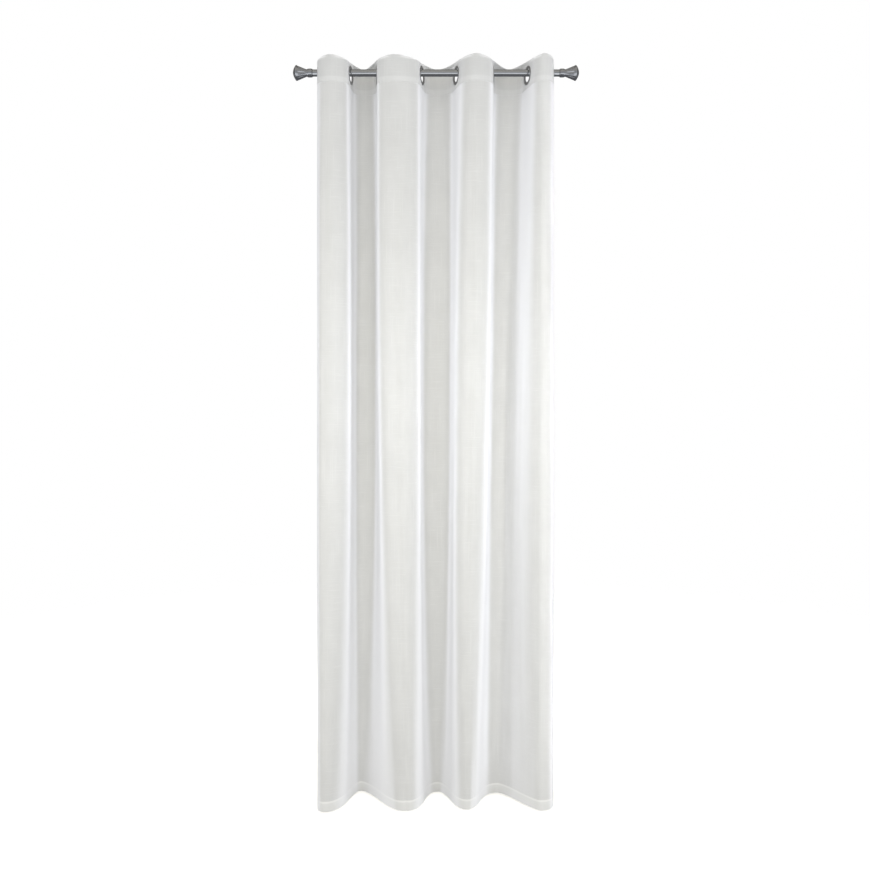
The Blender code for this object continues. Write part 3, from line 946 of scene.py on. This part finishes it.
def drawn_metal_group():
    """Fine lines left by drawing or turning the metal, with faint handling marks. Lines run along X."""
    group, given, out = new_group(
        "drawn_metal",
        (("Vector", "Vector", None), *((label, "Float", None) for label in ("Lines", "Roughness", "Marks"))),
        (("Shade", "Float"), ("Roughness", "Float"), ("Height", "Float")),
    )
    scale = node(group, "CombineXYZ", X=METAL_LINES_ALONG, Y=given["Lines"], Z=given["Lines"]).outputs[0]
    place = scaled_vector(group, given["Vector"], scale)
    lines = node(group, "TexNoise", Vector=place, Scale=1.0, Detail=METAL_LINE_DETAIL).outputs["Fac"]
    marks = node(group, "TexNoise", Vector=given["Vector"], Scale=METAL_MARKS_SCALE,
                 Detail=METAL_MARKS_DETAIL).outputs["Fac"]
    smear = times(group, minus(group, marks, 0.5), given["Marks"])
    score = times(group, minus(group, lines, 0.5), METAL_LINE_ROUGHNESS)
    rough = plus(group, plus(group, given["Roughness"], smear), score)
    put(group, out, "Shade", mapped(group, lines, *METAL_LINE_SHADE))
    put(group, out, "Roughness", rough)
    put(group, out, "Height", lines)
    return group


def new_material(name):
    """A material with an empty Principled shader, as (material, tree, shader)."""
    material = bpy.data.materials.new(name)
    material.use_nodes = True
    return material, material.node_tree, material.node_tree.nodes["Principled BSDF"]


def turned_under_edges(tree, stitches, across, down):
    """The turned side hems and foot, as (doubled cloth, allowance turned in and painted highlight, side
    stitch height).
    """
    from_side = math_of(tree, "MINIMUM", across, minus(tree, FLAT_WIDTH * MM, across))
    side = mapped(tree, from_side, (SIDE_HEM - DOUBLED_EDGE) * MM, (SIDE_HEM + DOUBLED_EDGE) * MM, 1.0, 0.0)
    below_hem_top = minus(tree, down, (TOP_Z - HEM_TOP) * MM)
    foot = mapped(tree, below_hem_top, -DOUBLED_EDGE * MM, DOUBLED_EDGE * MM)
    off_middle = minus(tree, below_hem_top, TURNED_IN_AND_HIGHLIGHT_BELOW_HEM_TOP * MM)
    near, far = (size * MM for size in TURNED_IN_AND_HIGHLIGHT_HALF)
    # Three layers where the allowance is turned in, and a painted highlight on the hem's raised top edge
    turned_in_and_highlight = mapped(tree, math_of(tree, "ABSOLUTE", off_middle), near, far, 1.0, 0.0)
    off_stitches = minus(tree, from_side, (SIDE_HEM - SIDE_STITCH_INSET) * MM)
    row = placed_group(tree, stitches, Along=down, Off=off_stitches)
    raised = times(tree, row["Height"], SIDE_STITCH_SHARE)
    return math_of(tree, "MAXIMUM", side, foot), turned_in_and_highlight, raised


def turned_up_band(tree, down):
    """The heading's allowance, turned up inside over the seam, as a share of white."""
    over_seam = minus(tree, (TOP_Z - SEAM_Z) * MM, down)
    near, far = (size * MM for size in TURNED_UP)
    return mapped(tree, over_seam, near, far, TURNED_UP_SHARE, 0.0)


def cloth_shaders(tree, shader, normal, through, whitening):
    """The cloth's own shader, mixed with light that comes through it and with white where it is edge on."""
    passed = node(tree, "BsdfTranslucent", Color=(*THROUGH_COLOUR, 1.0)).outputs[0]
    both = mixed_shader(tree, through, shader.outputs["BSDF"], passed)
    edge_on = node(tree, "LayerWeight", Blend=0.5, Normal=normal).outputs["Facing"]
    bright = node(tree, "BsdfDiffuse", Color=(*EDGE_ON_WHITE, 1.0), Normal=normal).outputs[0]
    return mixed_shader(tree, mapped(tree, edge_on, *EDGE_ON, 0.0, whitening), both, bright)


def cloth_material(name, weave, stitches):
    """One of the cloths: woven threads, rows of stitches, doubled edges and light coming through."""
    look = CLOTHS[name]
    material, tree, shader = new_material(name)
    flat = node(tree, "UVMap", {"uv_map": FLAT_MAP}).outputs["UV"]
    split = node(tree, "SeparateXYZ", Vector=flat)
    across, down = split.outputs["X"], split.outputs["Y"]
    cloth = placed_group(tree, weave, Flat=flat, Threads=THREADS_PER_METRE, Slub=SLUB_STRENGTH)
    height = cloth["Height"]
    colour = mixed_colour(tree, cloth["Shade"], look["thin"], look["full"])
    cover = times(tree, cloth["Slubs"], SLUB_COVER)
    if look["turned_under"]:
        doubled, turned_in_and_highlight, raised = turned_under_edges(tree, stitches, across, down)
        height = plus(tree, height, raised)
        cover = math_of(tree, "MAXIMUM", cover, doubled)
        colour = mixed_colour(tree, times(tree, doubled, DOUBLED_SHARE), colour, DOUBLED_WHITE)
        # Whiter where the allowance is turned in, partly a painted highlight for light caught by the hem's
        # top edge
        colour = mixed_colour(tree, turned_in_and_highlight, colour, TURNED_AND_HIGHLIGHT_WHITE)
    else:
        colour = mixed_colour(tree, turned_up_band(tree, down), colour, TURNED_AND_HIGHLIGHT_WHITE)
    off_stitches = minus(tree, down, (TOP_Z - look["stitched_at"]) * MM)
    row = placed_group(tree, stitches, Along=across, Off=off_stitches)
    height = plus(tree, height, row["Height"])
    cover = math_of(tree, "MAXIMUM", cover, row["Thread"])
    if look["openness"]:
        open_here = plus(tree, times(tree, cloth["Gap"], OPEN_GAPS), OPEN_THREADS)
        bare = minus(tree, 1.0, math_of(tree, "MINIMUM", cover, 1.0))
        seen = times(tree, times(tree, open_here, look["openness"]), bare)
        put(tree, shader, "Alpha", minus(tree, 1.0, seen))
    bump = node(tree, "Bump", Height=height, Strength=CLOTH_BUMP, Distance=CLOTH_BUMP_HEIGHT)
    normal = bump.outputs["Normal"]
    put_all(tree, shader, Base_Color=colour, Roughness=CLOTH_ROUGHNESS, Specular_IOR_Level=CLOTH_SPECULAR,
            Sheen_Weight=CLOTH_SHEEN, Sheen_Roughness=CLOTH_SHEEN_ROUGHNESS, Sheen_Tint=WHITE, Normal=normal)
    surface = cloth_shaders(tree, shader, normal, look["through"], look["whitening"])
    put(tree, tree.nodes["Material Output"], "Surface", surface)
    return material


def metal_material(name, drawn):
    """Satin plated metal with fine drawn lines."""
    dark, light, roughness, lines, marks = METALS[name]
    material, tree, shader = new_material(name)
    place = node(tree, "TexCoord").outputs["Object"]
    finish = placed_group(tree, drawn, Vector=place, Lines=lines, Roughness=roughness, Marks=marks)
    colour = mixed_colour(tree, finish["Shade"], dark, light)
    bump = node(tree, "Bump", Height=finish["Height"], Strength=METAL_BUMP, Distance=METAL_BUMP_HEIGHT)
    put_all(tree, shader, Base_Color=colour, Metallic=1.0, Roughness=finish["Roughness"],
            Normal=bump.outputs["Normal"])
    return material


# ---------------------------------------------------------------- studio


def make_floor():
    """A pale floor that fades into the white surround. The metal mirrors the surround instead of it."""
    mesh = bpy.data.meshes.new("studio_floor")
    disc = bmesh.new()
    bmesh.ops.create_circle(disc, cap_ends=True, segments=FLOOR_SIDES, radius=FLOOR_RADIUS)
    disc.to_mesh(mesh)
    disc.free()
    material, tree, shader = new_material("studio_floor")
    put_all(tree, shader, Base_Color=(*FLOOR_COLOUR, 1.0), Roughness=FLOOR_ROUGHNESS,
            Specular_IOR_Level=FLOOR_SPECULAR)
    out = node(tree, "VectorMath", {"operation": "LENGTH"})
    put(tree, out, "0", node(tree, "TexCoord").outputs["Object"])
    fade = mapped(tree, out.outputs["Value"], *(share * FLOOR_RADIUS for share in FLOOR_FADE))
    seen = node(tree, "LightPath").outputs["Is Camera Ray"]
    white = node(tree, "Emission", Color=WHITE, Strength=FLOOR_GLOW)
    lit = node(tree, "AddShader")
    put(tree, lit, "0", shader.outputs["BSDF"])
    put(tree, lit, "1", white.outputs[0])
    dull = node(tree, "BsdfDiffuse", Color=(*FLOOR_BOUNCE, 1.0)).outputs[0]
    clear = node(tree, "BsdfTransparent").outputs[0]
    surface = mixed_shader(tree, fade, mixed_shader(tree, seen, dull, lit.outputs[0]), clear)
    put(tree, tree.nodes["Material Output"], "Surface", surface)
    floor = new_piece("studio_floor", mesh, material)
    floor.location = (0.0, 0.0, HEM_Z * MM - FLOOR_GAP)
    floor.visible_glossy = False


def make_surround():
    """White for the camera, soft light on the cloth, and a dimmer room for metal to mirror."""
    world = bpy.data.worlds.new("studio_surround")
    world.use_nodes = True
    tree = world.node_tree
    tree.nodes.clear()
    split = node(tree, "SeparateXYZ", Vector=node(tree, "TexCoord").outputs["Generated"])
    up = split.outputs["Z"]
    behind = mapped(tree, split.outputs["Y"], *BEHIND_OVER)
    level = mapped(tree, math_of(tree, "ABSOLUTE", up), *GLOW_LEVEL_BAND, GLOW_LEVEL, 0.0)
    glow = plus(tree, mapped(tree, up, *GLOW_RISES_OVER, 0.0, GLOW_ABOVE), level)
    glow = mixed_value(tree, behind, glow, GLOW_BEHIND)
    high = mapped(tree, up, *SHINE_ABOVE_OVER, SHINE_LOW, SHINE_ABOVE)
    low = mapped(tree, up, *SHINE_LOW_OVER, SHINE_BELOW, SHINE_LOW)
    shine = mixed_value(tree, behind, math_of(tree, "MINIMUM", high, low), SHINE_BEHIND)
    rays = node(tree, "LightPath").outputs
    strength = mixed_value(tree, rays["Is Glossy Ray"], glow, shine)
    colour = mixed_colour(tree, mapped(tree, up, *GLOW_WARMS_OVER), GLOW_COOL, GLOW_WARM)
    lit = node(tree, "Background", Color=colour, Strength=strength).outputs[0]
    white = node(tree, "Background", Color=WHITE, Strength=1.0).outputs[0]
    node(tree, "OutputWorld", Surface=mixed_shader(tree, rays["Is Camera Ray"], lit, white))
    bpy.context.scene.world = world


def make_lights():
    """Soft lamps in front, behind and at both sides, some narrowed by a grid."""
    for row in LAMPS:
        lamp = dict(zip(LAMP_COLUMNS, row))
        data = bpy.data.lights.new(lamp["name"], "AREA")
        data.shape = "RECTANGLE"
        data.size = lamp["width"]
        data.size_y = lamp["height"]
        data.energy = lamp["watts"]
        data.spread = math.radians(lamp["spread"])
        data.color = lamp["colour"]
        item = bpy.data.objects.new(lamp["name"], data)
        item.location = lamp["place"]
        toward = Vector(lamp["aim"]) - item.location
        item.rotation_mode = "QUATERNION"
        item.rotation_quaternion = toward.to_track_quat("-Z", "Y")
        item.visible_camera = False
        item.visible_glossy = False
        bpy.context.scene.collection.objects.link(item)


def make_camera():
    """The photograph's view: level, in front of the curtain, at a little over half its height."""
    data = bpy.data.cameras.new("camera")
    data.sensor_width = SENSOR
    data.lens = FOCAL_PIXELS * SENSOR / PHOTO_SIDE
    data.shift_y = (HORIZON_ROW - PHOTO_SIDE / 2) / PHOTO_SIDE
    item = bpy.data.objects.new("camera", data)
    item.location = CAMERA_AT
    item.rotation_euler = (math.pi / 2, 0.0, 0.0)
    bpy.context.scene.collection.objects.link(item)
    bpy.context.scene.camera = item


# ---------------------------------------------------------------- putting it together


def stand_in(item, cad_node):
    """Let a piece ride on the part, and hide the plain solid that it replaces."""
    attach(item, "root")
    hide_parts(cad_node)


def main():
    bpy.context.scene.view_settings.view_transform = "Standard"
    weave = voile_weave_group()
    stitches = stitch_row_group()
    drawn = drawn_metal_group()
    finishes = {name: cloth_material(name, weave, stitches) for name in CLOTHS}
    finishes.update((name, metal_material(name, drawn)) for name in METALS)

    panel = make_panel(finishes["voile"])
    heading = make_heading(finishes["heading_voile"])
    for cloth in (panel, heading):
        cloth.visible_glossy = False
    rings = make_rings(finishes["ring_metal"])
    rod = make_rod(finishes["rod_metal"])
    stand_in(panel, "panel")
    stand_in(heading, "heading")
    for number, item in enumerate(rings, 1):
        stand_in(item, f"eyelet_{number}")
    stand_in(rod, "rod")
    for name, side in (("finial_left", -1), ("finial_right", 1)):
        stand_in(make_finial(f"fluted_{name}", side, finishes["finial_metal"]), name)

    make_floor()
    make_surround()
    make_lights()
    make_camera()


main()
